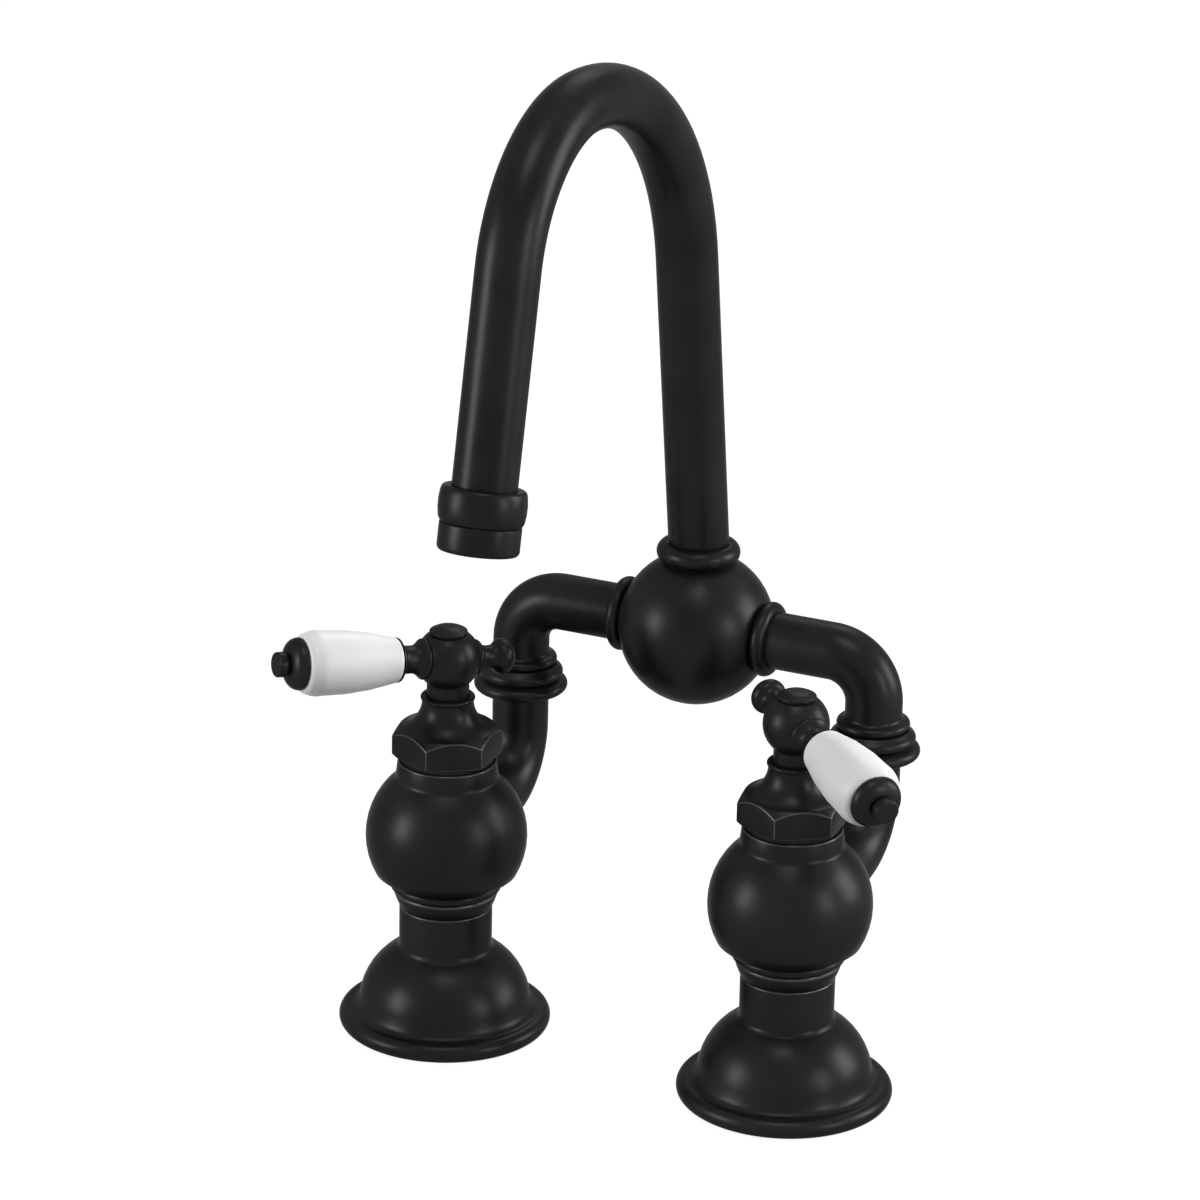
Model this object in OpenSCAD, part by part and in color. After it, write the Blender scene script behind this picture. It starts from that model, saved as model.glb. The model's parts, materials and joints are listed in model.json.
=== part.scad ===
// Bridge bathroom faucet on two deck pillars. Millimetres, +Z up.
// The origin is on the deck, midway between the two inlets.
// X runs from pillar to pillar, and the spout reaches forward along -Y.

/* [Deck] */
// Distance between the two inlet centres
centres = 101.6; // [98:0.1:115]
// Radius of the threaded inlet bore, half inch pipe thread
inlet_r = 9.3; // [8.5:0.1:9.5]
// Depth of the threaded inlet bore
inlet_depth = 13; // [10:0.5:16]
// Outer radius of the brass inlet shank
shank_r = 10.6; // [10.2:0.1:10.9]
// Radius of the waterway above the thread
waterway_r = 6; // [4.5:0.1:6.5]
// Thickness of the rubber deck gasket
gasket_t = 2; // [1.5:0.1:2.6]

/* [Base flange] */
// Outer radius of the rounded rim
rim_r = 29; // [28:0.1:33]
// Height of the rounded rim
rim_h = 5.2; // [4.6:0.1:6]
// Width of the rim's foot that stands on the deck
foot_w = 1.4; // [1.2:0.1:1.6]
// Radius of the bell just above the rim
bell_r = 23.6; // [22.5:0.1:24.2]
// Radius of the bell's round shoulder
shoulder_r = 19.6; // [18.4:0.1:20.8]
// How far the middle of that round lies below the bell's foot
bell_drop = 2; // [1:0.5:3]
// Radius of the hollow curve between bell and column
column_cove = 2.2; // [1.2:0.1:3]
// Wall of the bell
bell_wall = 2.2; // [1.6:0.1:2.8]
// Radius of the column above the bell
column_r = 12.7; // [12.5:0.1:13]
// Height of the flange up to the seam under the cup
flange_h = 35.5; // [33:0.5:40]

/* [Valve body] */
// Height of the flared cup
cup_h = 4.8; // [4:0.1:6]
// How far the column stands outside the cup's foot
cup_step = 0.5; // [0.3:0.1:0.8]
// Radius at the top of the cup
cup_r = 14.3; // [14:0.1:14.6]
// Height of the round bead above the cup
bead_h = 3; // [2.4:0.1:3.6]
// Largest radius of the bead
bead_r = 15.3; // [15:0.1:15.8]
// Radius of the round bulb
bulb_r = 22; // [21.5:0.1:23]
// Height of the bulb's centre above the bead
bulb_lift = 12.7; // [12:0.1:13.2]
// Radius of the neck above the bulb
neck_r = 13.4; // [13:0.1:13.8]
// Height of the neck's top above the bulb's centre
neck_lift = 22; // [22:0.1:25]
// Height of the small seat ring on top of the neck
seat_h = 1.5; // [1:0.1:2]

/* [Bonnet nut] */
// Radius of the hexagon across its corners
hex_r = 15.2; // [15:0.1:16]
// Height of the hexagon
hex_h = 7.8; // [7:0.1:8.2]
// Drop of the chamfer at the hexagon's upper corners
hex_chamfer = 2.2; // [1.4:0.1:2.6]
// Turn of the hexagon about the pillar
hex_turn = 34; // [0:1:59]
// Radius of the hollow flare above the hexagon
flare_r = 8.2; // [7.6:0.1:8.6]
// Radius of the thin ring around the bonnet's mouth
bonnet_r = 7.4; // [7.3:0.1:7.8]
// Height of the bonnet nut
bonnet_h = 17.1; // [16.8:0.1:20]
// Length of the threaded skirt inside the neck
skirt_h = 10; // [8:0.1:11]
// Radius of the threaded skirt
skirt_r = 11; // [10.8:0.1:11.3]

/* [Cartridge] */
// Radius of the cartridge barrel
barrel_r = 8.5; // [8.4:0.1:8.8]
// Length of the barrel below its flange
barrel_h = 14.4; // [14:0.1:15]
// Thickness of the cartridge flange
barrel_flange_t = 2.4; // [2:0.1:2.8]
// Radius of the ceramic discs
disc_r = 7.4; // [7:0.1:7.5]
// Thickness of each ceramic disc
disc_t = 2.6; // [2.2:0.1:2.8]
// Radius of the stem
stem_r = 4; // [3.8:0.1:4.2]
// Radius of the stem's splined top
spline_r = 3; // [2.8:0.1:3.2]
// Section radius of the stem's O-ring
stem_ring_r = 0.8; // [0.6:0.05:0.9]
// Height of the rubber seal under the cartridge
seal_h = 1.6; // [1.4:0.1:2]

/* [Handle] */
// Radius of the ball hub
hub_r = 8.85; // [8.6:0.05:9.5]
// Height of the hub's centre above the bonnet
hub_lift = 10.5; // [10.4:0.1:13]
// Radius of the sleeve below the hub
sleeve_r = 5.75; // [5.6:0.05:5.9]
// Radius of the hub's top cap
cap_r = 5.1; // [4.9:0.1:5.6]
// Height of the cap above the hub
cap_h = 2.2; // [1.8:0.1:4]
// Radius of the handle screw's head
screw_head_r = 3.6; // [3.2:0.1:3.8]
// Radius of the handle screw's shank
screw_r = 1.5; // [1.25:0.05:1.6]
// Radius of the rods that join lever and knob to the hub
rod_r = 1.7; // [1.5:0.05:1.9]
// Distance from the hub's centre to the near end of the grip
grip_start = 15.4; // [14:0.1:16]
// Length of the porcelain grip
grip_len = 28; // [26:0.1:32]
// Largest radius of the porcelain grip
grip_r = 8.8; // [8.4:0.1:9.6]
// Radius of the grip's narrow end
grip_end_r = 6.2; // [6:0.1:6.8]
// Radius of the metal cap on the grip's far end
end_cap_r = 7.1; // [6.8:0.1:7.4]
// Height of the dome on that cap
end_dome_h = 4; // [3.4:0.1:4.4]
// Length of the finial beyond the dome
finial_len = 3.2; // [2.8:0.1:4]
// Radius of the finial at the tip
finial_r = 3.4; // [3:0.1:3.8]
// Radius of the tail knob
knob_r = 4.9; // [4.6:0.1:5.2]
// Distance from the hub's centre to the tail knob's centre
knob_reach = 15.8; // [14.8:0.1:17]
// Turn of the left lever from straight sideways towards the front
left_turn = 51; // [0:1:60]
// Turn of the right lever from straight sideways towards the front
right_turn = 39; // [0:1:60]
// Droop of the left lever
left_droop = -6.5; // [-8:0.5:10]
// Droop of the right lever
right_droop = 7; // [-6:0.5:10]

/* [Bridge] */
// Distance of the bridge behind the pillars
bridge_back = 49.6; // [47:0.1:56]
// How far each union stands outside its pillar
union_out = 2; // [0:0.1:6]
// Outer radius of the elbow tubes
tube_r = 7.8; // [7.6:0.05:8]
// Wall of the elbow tubes
tube_wall = 1.6; // [1.2:0.1:2]
// Height of the lower elbow's axis below the bulb's centre
elbow_drop = 1.5; // [0:0.1:2]
// Bend radius of the lower elbow
lower_bend_r = 17; // [14:0.5:19]
// Bend radius of the upper elbow
upper_bend_r = 12.6; // [11:0.1:13]
// Height of the union's foot above the deck
union_z = 81; // [78:0.5:83]
// Height of the large lower ring of the union nut
large_ring_h = 3.6; // [3.2:0.1:4.2]
// Radius of the large lower ring
large_ring_r = 13; // [12.6:0.1:13.8]
// Height of the upper ring of the union nut
small_ring_h = 4.3; // [4:0.1:5]
// Radius of the upper ring
small_ring_r = 11.7; // [11.5:0.1:12.2]
// Height of the shoulder ring on the upper elbow
shoulder_ring_h = 3.4; // [3:0.1:4]
// Radius of the shoulder ring on the upper elbow
shoulder_ring_r = 10; // [9.9:0.1:10.6]
// Radius of the pipe flanges clamped inside the union
flange_r = 9.7; // [9.5:0.1:9.8]
// Thickness of the union washer
washer_t = 1.4; // [1:0.1:1.6]
// Height of the mixing ball's centre above the deck
ball_z = 108.7; // [106:0.1:115]
// Radius of the mixing ball
ball_r = 21.4; // [20.4:0.1:22]
// Wall of the mixing ball
ball_wall = 3.2; // [2.6:0.1:3.6]
// Radius of the collars where the arms enter the ball
arm_collar_r = 10.2; // [9.8:0.1:10.8]
// Length of the arm collars
arm_collar_l = 4.4; // [4:0.1:5]

/* [Spout] */
// Radius of the collar on top of the ball
spout_collar_r = 11.4; // [11:0.1:12]
// Height of the collar's rounded ring above the ball
collar_ring_h = 5.8; // [5.4:0.1:6.4]
// Outer radius of the spout tube
spout_r = 8.3; // [8:0.05:8.4]
// Wall of the spout tube
spout_wall = 1.2; // [1:0.1:1.6]
// Forward lean of the riser
lean = 8.7; // [6:0.1:10]
// Straight length of the riser
riser_len = 84.4; // [70:0.1:110]
// Radius of the wide bend behind
rear_bend_r = 69; // [60:0.5:75]
// Turn of the wide bend behind
rear_bend_turn = 80.8; // [75:0.1:85]
// Radius of the tight bend in front
front_bend_r = 41.6; // [36:0.1:48]
// Turn of the tight bend in front
front_bend_turn = 78.1; // [72:0.1:82]
// Length of the outlet leg above the outlet collar
outlet_leg = 54; // [40:0.1:70]
// Radius of the spigot that turns in the bush
spigot_r = 6.4; // [6:0.05:6.6]
// Length of the bush that the spigot turns in
bush_h = 14; // [12:0.5:16]
// Section radius of the spout's O-rings
spout_ring_r = 0.9; // [0.7:0.05:1]

/* [Outlet] */
// Height of the rounded outlet collar
outlet_collar_h = 9; // [8:0.1:10]
// Radius of the rounded outlet collar
outlet_collar_r = 11.2; // [11:0.1:11.8]
// Height of the aerator housing
housing_h = 7.4; // [6.8:0.1:9]
// Radius of the aerator housing
housing_r = 10.4; // [10.3:0.1:10.7]
// Thickness of the aerator insert
insert_t = 2.2; // [1.8:0.1:2.4]
// Radius of each hole in the aerator insert
insert_hole_r = 0.9; // [0.7:0.05:1]

/* [Fits] */
// Radial gap of turning and sliding fits
run_gap = 0.05; // [0.02:0.01:0.08]
// Gap between moving pieces that show
air_gap = 0.3; // [0.3:0.05:0.4]

/* [Hidden] */
$fn = 72;
SIDE_PIECES = [
    "base_flange", "deck_gasket", "inlet_shank", "valve_body", "cartridge_body", "cartridge_seal",
    "fixed_disc", "turning_disc", "cartridge_stem", "stem_o_ring", "bonnet_nut", "handle_hub",
    "handle_cap", "handle_screw", "lever_rod", "lever_collar", "lever_grip", "grip_end_cap",
    "tail_knob", "lower_elbow", "union_nut", "union_washer", "upper_elbow", "arm_collar"
];
CENTRE_PIECES = [
    "mixing_ball", "spout_collar", "spout_bush", "spout_o_rings", "spout_retaining_ring",
    "spout_tube", "outlet_collar", "aerator_housing", "aerator_insert", "aerator_washer"
];

LEFT = -1;
RIGHT = 1;
cut = 0.5;

// Heights up the pillar
bead_z = flange_h + cup_h;
bulb_base_z = bead_z + bead_h;
bulb_z = bulb_base_z + bulb_lift;
neck_top_z = bulb_z + neck_lift;
seat_top_z = neck_top_z + seat_h;
bonnet_top_z = seat_top_z + bonnet_h;
hub_z = bonnet_top_z + hub_lift;

// Bell shoulder and the hollow curve that blends it into the column
gasket_r = rim_r - rim_h / 2 - foot_w;
bell_z = rim_h + 2.3 - bell_drop;
bell_foot_a = asin(bell_drop / shoulder_r);
bell_cx = bell_r - shoulder_r * cos(bell_foot_a);
cove_x = column_r + column_cove;
cove_z = bell_z + sqrt(pow(shoulder_r + column_cove, 2) - pow(cove_x - bell_cx, 2));
cove_a = atan2(cove_z - bell_z, cove_x - bell_cx);

// Places inside the valve body, from the bonnet skirt downwards
skirt_bore_r = skirt_r + run_gap;
skirt_foot_z = seat_top_z - skirt_h;
ledge_z = skirt_foot_z - barrel_flange_t;
barrel_foot_z = ledge_z - barrel_h;
seal_z = barrel_foot_z - seal_h;
chamber_r = barrel_r + 1.3;
elbow_z = bulb_z - elbow_drop;
elbow_seat = chamber_r + 1.8;
shank_top_z = flange_h + 10.5;
shank_bore_r = shank_r + run_gap;

// Stem and discs
fixed_disc_z = barrel_foot_z;
turning_disc_z = fixed_disc_z + disc_t + run_gap;
foot_z = turning_disc_z + disc_t;
foot_h = 1.4;
foot_r = disc_r - 0.5;
disc_bore_r = disc_r + run_gap;
stem_bore_r = stem_r + run_gap;
disc_well_top_z = foot_z + foot_h + 0.1;
side_port_z = disc_well_top_z + 3;
side_port_r = 2.2;
flow_well_top_z = side_port_z + side_port_r + 0.6;
barrel_top_z = seat_top_z + 7;
neck_barrel_r = barrel_r + 0.4;
stem_ring_z = ledge_z + 7;
spline_z = bonnet_top_z - 6;
web_z = hub_z - 3.5;
web_t = 2;
counterbore_depth = 1.5;

// Hub and lever
cap_z = hub_z + sqrt(pow(hub_r, 2) - pow(cap_r + 0.3, 2));
well_r = screw_head_r + 0.4;
rod_start = well_r + 1.3;
grip_far = grip_start + grip_len;
end_dome_z = grip_far + end_dome_h;
lever_tip = end_dome_z + finial_len;

// Bridge
splay = atan2(union_out, bridge_back);
elbow_reach = norm([union_out, bridge_back]);
union_x = centres / 2 + union_out;
tube_bore_r = tube_r - tube_wall;
large_ring_top_z = union_z + large_ring_h;
nut_top_z = large_ring_top_z + small_ring_h;
nut_lip = 1.5;
pipe_flange_z = union_z + nut_lip + run_gap;
pipe_flange_t = 1.8;
washer_z = pipe_flange_z + pipe_flange_t;
tail_z = washer_z + washer_t;
arm_end = ball_r - ball_wall - 2;
collar_mid = ball_r;

// Spout
collar_neck_r = spout_collar_r - 1.4;
collar_foot_z = ball_z + sqrt(pow(ball_r, 2) - pow(collar_neck_r, 2));
collar_top_z = collar_foot_z + collar_ring_h;
foot_web = 3;
bush_r = spigot_r + 2.1;
bush_top_z = collar_top_z - 0.6;
foot_gap_z = collar_top_z + air_gap;
clip_t = 1.2;
clip_groove = 0.9;
clip_z = bush_top_z - bush_h - air_gap - clip_t;
spigot_foot_z = clip_z - 1.4;
spout_bore_r = spout_r - spout_wall;
spigot_bore_r = spigot_r - 1.9;
thread_r = housing_r - 0.95;
thread_h = 3.2;
lip_t = 1.2;
tail_len = outlet_collar_h + thread_h;
seam_lip = 0.01;
seam_h = 0.2;
seam_gap = 0.03;

// Points along an arc of a profile
function arc(cx, cy, r, a0, a1, n = 8) =
    [for (i = [0 : n]) let (a = a0 + (a1 - a0) * i / n) [cx + r * cos(a), cy + r * sin(a)]];

// Plan angle of a lever, measured from +X
function lever_angle(side) = side == LEFT ? 180 + left_turn : -right_turn;
function lever_droop(side) = side == LEFT ? left_droop : right_droop;

module on_pillar(side) translate([side * centres / 2, 0, 0]) children();

module mirrored(side) {
    if (side == LEFT) mirror([1, 0, 0]) children();
    else children();
}

// Turns a profile given as points of radius and height about the vertical axis
module turned(points) rotate_extrude() polygon(points);

// A pin, bore or disc between two heights
module barrel(r, z0, z1) translate([0, 0, z0]) cylinder(r = r, h = z1 - z0);

// Lays children that point along +Z onto the lever's axis
module on_lever(side)
    on_pillar(side)
    translate([0, 0, hub_z])
    rotate([0, 90 + lever_droop(side), lever_angle(side)])
    children();

// A quarter pipe or other bend that starts at the origin along +Z and curves towards +X
module bend(bend_r, turn, r)
    translate([bend_r, 0, 0])
    rotate([90, 0, 180])
    rotate_extrude(angle = turn)
    translate([bend_r, 0])
    circle(r);

// Moves children to the end of such a bend
module past_bend(bend_r, turn)
    translate([bend_r * (1 - cos(turn)), 0, bend_r * sin(turn)])
    rotate([0, turn, 0])
    children();

module base_flange(side) color("#2b2b2d") on_pillar(side) {
    inner_r = shoulder_r - bell_wall;
    inner_a = 60;
    turned(concat(
        [[shank_bore_r, flange_h], [shank_bore_r, bell_z + inner_r * sin(inner_a)]],
        arc(bell_cx, bell_z, inner_r, inner_a, 0, 6),
        [[bell_cx + inner_r, gasket_t], [gasket_r, gasket_t], [gasket_r, 0]],
        arc(rim_r - rim_h / 2, rim_h / 2, rim_h / 2, -90, 90, 12),
        arc(bell_r + 2.6, rim_h + 2.4, 2.4, -100, -160, 5),
        arc(bell_cx, bell_z, shoulder_r, bell_foot_a, cove_a, 14),
        arc(cove_x, cove_z, column_cove, 180 + cove_a, 180, 7),
        [[column_r, flange_h - 0.3], [column_r - 0.3, flange_h]]
    ));
}

module deck_gasket(side) color("#151515") on_pillar(side)
    turned([
        [shank_r + 0.2, 0], [gasket_r - 0.2, 0],
        [gasket_r - 0.2, gasket_t], [shank_r + 0.2, gasket_t]
    ]);

module inlet_shank(side) color("#b08d46") on_pillar(side) difference() {
    barrel(shank_r, 0, shank_top_z);
    barrel(inlet_r, -cut, inlet_depth);
    translate([0, 0, inlet_depth - 0.01]) cylinder(r1 = inlet_r - 0.6, r2 = waterway_r, h = 3);
    barrel(waterway_r, inlet_depth, shank_top_z + cut);
}

// Outside of the valve body: cup, bead, bulb, neck and seat ring
module valve_body_outside() {
    neck_base_r = neck_r + 0.5;
    neck_cove = 2;
    low_a = asin(2.3 / bulb_r - bulb_lift / bulb_r);
    cove_dx = neck_base_r + neck_cove;
    cove_dz = sqrt(pow(bulb_r + neck_cove, 2) - pow(cove_dx, 2));
    join_a = atan2(cove_dz, cove_dx);
    turned(concat(
        [[0, flange_h], [column_r - cup_step, flange_h], [column_r + 0.3, flange_h + 0.8]],
        [[cup_r - 0.6, flange_h + cup_h / 2], [cup_r, bead_z - 0.5], [cup_r - 0.3, bead_z]],
        arc(bead_r - bead_h / 2, bead_z + bead_h / 2, bead_h / 2, -80, 80, 8),
        [[bead_r - 0.5, bulb_base_z + 0.3], [bead_r + 2.1, bulb_base_z + 0.9]],
        arc(0, bulb_z, bulb_r, low_a, join_a, 20),
        arc(cove_dx, bulb_z + cove_dz, neck_cove, 180 + join_a, 180, 5),
        [[neck_r, neck_top_z - 0.4], [neck_r - 0.3, neck_top_z]],
        [[neck_r - 0.8, neck_top_z], [neck_r - 0.8, seat_top_z], [0, seat_top_z]]
    ));
}

module valve_body(side) color("#2b2b2d") on_pillar(side) difference() {
    valve_body_outside();
    barrel(shank_bore_r, flange_h - cut, shank_top_z);
    barrel(waterway_r, shank_top_z - cut, seal_z + cut);
    barrel(barrel_r + run_gap, seal_z, barrel_foot_z + 3);
    barrel(chamber_r, barrel_foot_z + 2, ledge_z);
    barrel(skirt_bore_r, ledge_z, seat_top_z + cut);
    mirrored(side) translate([0, 0, elbow_z]) rotate([180, -90, 90 - splay]) {
        barrel(tube_r + run_gap, elbow_seat, bulb_r + 2);
        barrel(tube_bore_r - 1, chamber_r - 3, elbow_seat + cut);
    }
}

module cartridge_seal(side) color("#151515") on_pillar(side) difference() {
    barrel(barrel_r, seal_z, barrel_foot_z);
    barrel(waterway_r - 0.4, seal_z - cut, barrel_foot_z + cut);
}

// Two flow holes through a disc, set opposite each other
module flow_holes(z0, z1, turn)
    for (a = [0, 180])
        rotate([0, 0, a + turn])
        translate([disc_r * 0.5, 0, 0])
        barrel(1.5, z0 - cut, z1 + cut);

module fixed_disc(side) color("#e8e4dc") on_pillar(side) difference() {
    barrel(disc_r, fixed_disc_z, fixed_disc_z + disc_t);
    flow_holes(fixed_disc_z, fixed_disc_z + disc_t, 0);
}

module turning_disc(side) color("#e8e4dc") on_pillar(side) difference() {
    barrel(disc_r, turning_disc_z, turning_disc_z + disc_t);
    flow_holes(turning_disc_z, turning_disc_z + disc_t, 90);
}

module cartridge_body(side) color("#b08d46") on_pillar(side) difference() {
    union() {
        barrel(barrel_r, barrel_foot_z, ledge_z);
        barrel(skirt_r - 0.1, ledge_z, skirt_foot_z);
        barrel(neck_barrel_r, skirt_foot_z, barrel_top_z);
    }
    barrel(disc_bore_r, barrel_foot_z - cut, disc_well_top_z);
    barrel(disc_r - 1.4, disc_well_top_z - cut, flow_well_top_z);
    barrel(stem_bore_r, flow_well_top_z - cut, barrel_top_z + cut);
    translate([0, 0, side_port_z]) rotate([0, 90, 0]) cylinder(r = side_port_r, h = 30, center = true);
}

module cartridge_stem(side) color("#b08d46") on_pillar(side) difference() {
    union() {
        barrel(foot_r, foot_z, foot_z + foot_h);
        barrel(stem_r, foot_z, spline_z);
        barrel(spline_r, spline_z, web_z);
    }
    difference() {
        barrel(stem_r + cut, stem_ring_z - stem_ring_r, stem_ring_z + stem_ring_r);
        barrel(stem_r - 2 * stem_ring_r, stem_ring_z - 2, stem_ring_z + 2);
    }
    flow_holes(foot_z, foot_z + foot_h, 90);
    barrel(screw_r + run_gap, web_z - 8, web_z + cut);
}

module stem_o_ring(side) color("#151515") on_pillar(side)
    translate([0, 0, stem_ring_z])
    rotate_extrude()
    translate([stem_r - stem_ring_r, 0])
    circle(stem_ring_r, $fn = 32);

module bonnet_nut(side) color("#2b2b2d") on_pillar(side) difference() {
    flat_r = hex_r * cos(30);
    hex_top_z = seat_top_z + hex_h;
    throat_r = bonnet_r - 0.4;
    flare_turn = acos((throat_r + flare_r - flat_r + 0.4) / flare_r);
    flare_z = hex_top_z + flare_r * sin(flare_turn);
    union() {
        intersection() {
            translate([0, 0, seat_top_z]) rotate([0, 0, hex_turn]) cylinder(r = hex_r, h = hex_h, $fn = 6);
            turned([
                [0, seat_top_z], [flat_r + 1, seat_top_z], [hex_r + 0.2, seat_top_z + 0.7],
                [hex_r + 0.2, hex_top_z - hex_chamfer], [flat_r - 0.1, hex_top_z], [0, hex_top_z]
            ]);
        }
        turned(concat(
            [[0, seat_top_z + 1], [flat_r - 0.4, seat_top_z + 1]],
            arc(throat_r + flare_r, flare_z, flare_r, 180 + flare_turn, 180, 10),
            arc(bonnet_r - 0.6, bonnet_top_z - 0.6, 0.6, -60, 90, 6),
            [[0, bonnet_top_z]]
        ));
        barrel(skirt_r, skirt_foot_z, seat_top_z + 1);
    }
    barrel(neck_barrel_r + run_gap, skirt_foot_z - cut, barrel_top_z);
    barrel(stem_r + 0.5, barrel_top_z - cut, bonnet_top_z + cut);
    barrel(sleeve_r + air_gap, bonnet_top_z - counterbore_depth, bonnet_top_z + cut);
}

module handle_hub(side) color("#2b2b2d") difference() {
    on_pillar(side) difference() {
        union() {
            translate([0, 0, hub_z]) sphere(hub_r);
            barrel(sleeve_r, bonnet_top_z - counterbore_depth + air_gap, hub_z);
        }
        barrel(spline_r + run_gap, bonnet_top_z - 5, web_z);
        barrel(screw_r + 0.2, web_z - cut, web_z + web_t + cut);
        barrel(well_r, web_z + web_t, hub_z + hub_r + cut);
        barrel(hub_r, cap_z, hub_z + hub_r + cut);
    }
    for (way = [0, 180])
        on_lever(side) rotate([way, 0, 0]) barrel(rod_r + run_gap, rod_start, hub_r + cut);
}

module handle_cap(side) color("#2b2b2d") on_pillar(side)
    turned(concat(
        [[0, cap_z - 2], [well_r - run_gap, cap_z - 2], [well_r - run_gap, cap_z]],
        [[cap_r - 0.4, cap_z]],
        arc(cap_r - 0.6, cap_z + 0.6, 0.6, -60, 40, 5),
        [for (i = [1 : 7]) let (t = i / 7)
            [(cap_r - 0.2) * cos(90 * t), cap_z + 0.9 + (cap_h - 0.9) * sin(90 * t)]]
    ));

module handle_screw(side) color("#9a9a9a") on_pillar(side) difference() {
    union() {
        barrel(screw_r, web_z - 7, web_z + web_t + 1);
        barrel(screw_head_r, web_z + web_t, web_z + web_t + 2.2);
    }
    barrel(1.3, web_z + web_t + 0.8, web_z + web_t + 3);
}

module lever_rod(side) color("#9a9a9a") on_lever(side) barrel(rod_r, rod_start + 0.1, grip_far + 2.4);

// Ring against the hub, narrow neck, and flared cup that meets the porcelain
module lever_collar(side) color("#2b2b2d") on_lever(side) difference() {
    turned(concat(
        [[0, hub_r - 3.4], [grip_end_r - 1.1, hub_r - 3.4]],
        arc(grip_end_r - 1.5, hub_r - 1.2, 0.9, -60, 60, 6),
        [[grip_end_r - 1.6, hub_r + 0.3], [grip_end_r - 2.2, hub_r + 1.4]],
        [[grip_end_r - 2.4, hub_r + 2.5], [grip_end_r - 2.3, grip_start - 2.2]],
        [[grip_end_r - 1.8, grip_start - 1.3], [grip_end_r - 0.8, grip_start - 0.7]],
        [[grip_end_r - 0.1, grip_start - 0.3], [grip_end_r - 0.1, grip_start], [0, grip_start]]
    ));
    sphere(hub_r);
    barrel(rod_r + run_gap, -cut, grip_start + cut);
}

module lever_grip(side) color("#f4f3f0") on_lever(side) difference() {
    swell = grip_far - 5;
    turned(concat(
        [[0, grip_start]],
        arc(grip_end_r - 1, grip_start + 1, 1, -90, 0, 5),
        [for (i = [1 : 8]) let (t = i / 8)
            [
                grip_end_r + (grip_r - grip_end_r) * sin(90 * t),
                grip_start + 1 + (swell - grip_start - 1) * (1 - cos(90 * t)) * 0.35
                    + (swell - grip_start - 1) * t * 0.65
            ]],
        [for (i = [1 : 7]) let (a = 90 * i / 7)
            [end_cap_r - 0.3 + (grip_r - end_cap_r + 0.3) * cos(a), swell + (grip_far - swell) * sin(a)]],
        [[0, grip_far]]
    ));
    barrel(rod_r + 0.2, grip_start - cut, grip_far + cut);
}

// Domed end with its small finial
module grip_end_cap(side) color("#2b2b2d") on_lever(side) difference() {
    rim_top_z = grip_far + 0.8;
    finial_neck_r = finial_r - 0.8;
    turned(concat(
        [[0, grip_far], [end_cap_r - 0.2, grip_far]],
        arc(end_cap_r - 0.5, grip_far + 0.6, 0.5, -40, 10, 3),
        [for (i = [0 : 7]) let (a = 90 * i / 7)
            [
                finial_neck_r + (end_cap_r - 0.1 - finial_neck_r) * cos(a),
                rim_top_z + (end_dome_z - rim_top_z) * sin(a)
            ]],
        [[finial_neck_r, end_dome_z + 0.6]],
        arc(finial_r - 0.4, end_dome_z + 1.1, 0.4, -80, 0, 4),
        arc(finial_r - 0.6, lever_tip - 0.6, 0.6, 0, 90, 4),
        [[0, lever_tip]]
    ));
    barrel(rod_r + run_gap, grip_far - cut, grip_far + 2.6);
}

module tail_knob(side) color("#2b2b2d") on_lever(side) rotate([180, 0, 0]) union() {
    difference() {
        turned(concat(
            [[0, hub_r - 3.4], [knob_r - 0.9, hub_r - 3.4]],
            arc(knob_r - 0.9, hub_r - 0.9, 0.9, -60, 70, 6),
            [[knob_r - 1.5, hub_r + 0.6], [knob_r - 1.8, hub_r + 1.6]],
            [[knob_r - 1.7, knob_reach - 3.3], [knob_r - 1, knob_reach - 2.6]],
            arc(knob_r - 2.6, knob_reach, 2.6, -50, 60, 8),
            [[knob_r - 2.6, knob_reach + 3], [0, knob_reach + 3.3]]
        ));
        sphere(hub_r);
    }
    barrel(rod_r, rod_start + 0.1, knob_reach);
}

// Straight run, quarter bend and riser of the lower elbow, drawn along +Z and then turned upright
module lower_path(r, start, height) {
    run = elbow_reach - lower_bend_r;
    barrel(r, start, run);
    translate([0, 0, run]) {
        bend(lower_bend_r, 90, r);
        past_bend(lower_bend_r, 90) cylinder(r = r, h = height);
    }
}

// Bent pipe from the back of the bulb up into the union, with the clamped flange on top
module lower_elbow(side) color("#2b2b2d") on_pillar(side) mirrored(side)
    translate([0, 0, elbow_z]) rotate([180, -90, 90 - splay]) difference() {
        riser = washer_z - elbow_z - lower_bend_r;
        union() {
            lower_path(tube_r, elbow_seat, riser);
            translate([0, 0, elbow_reach - lower_bend_r])
                past_bend(lower_bend_r, 90)
                barrel(flange_r, riser - pipe_flange_t, riser);
        }
        lower_path(tube_bore_r, elbow_seat - cut, riser + cut);
    }

module at_union(side) mirrored(side) translate([union_x, bridge_back, 0]) children();

module union_nut(side) color("#2b2b2d") at_union(side) difference() {
    turned(concat(
        [[0, union_z], [large_ring_r - 1.2, union_z]],
        arc(large_ring_r - 1.7, union_z + 1.7, 1.7, -75, 60, 8),
        [[small_ring_r + 0.2, large_ring_top_z - 0.3], [small_ring_r - 0.4, large_ring_top_z]],
        arc(small_ring_r - 1.7, large_ring_top_z + 1.8, 1.7, -65, 60, 8),
        [[shoulder_ring_r + 0.4, nut_top_z - 0.4], [shoulder_ring_r, nut_top_z], [0, nut_top_z]]
    ));
    barrel(tube_r + run_gap, union_z - cut, union_z + nut_lip + cut);
    barrel(flange_r + run_gap, union_z + nut_lip, nut_top_z + cut);
}

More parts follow.
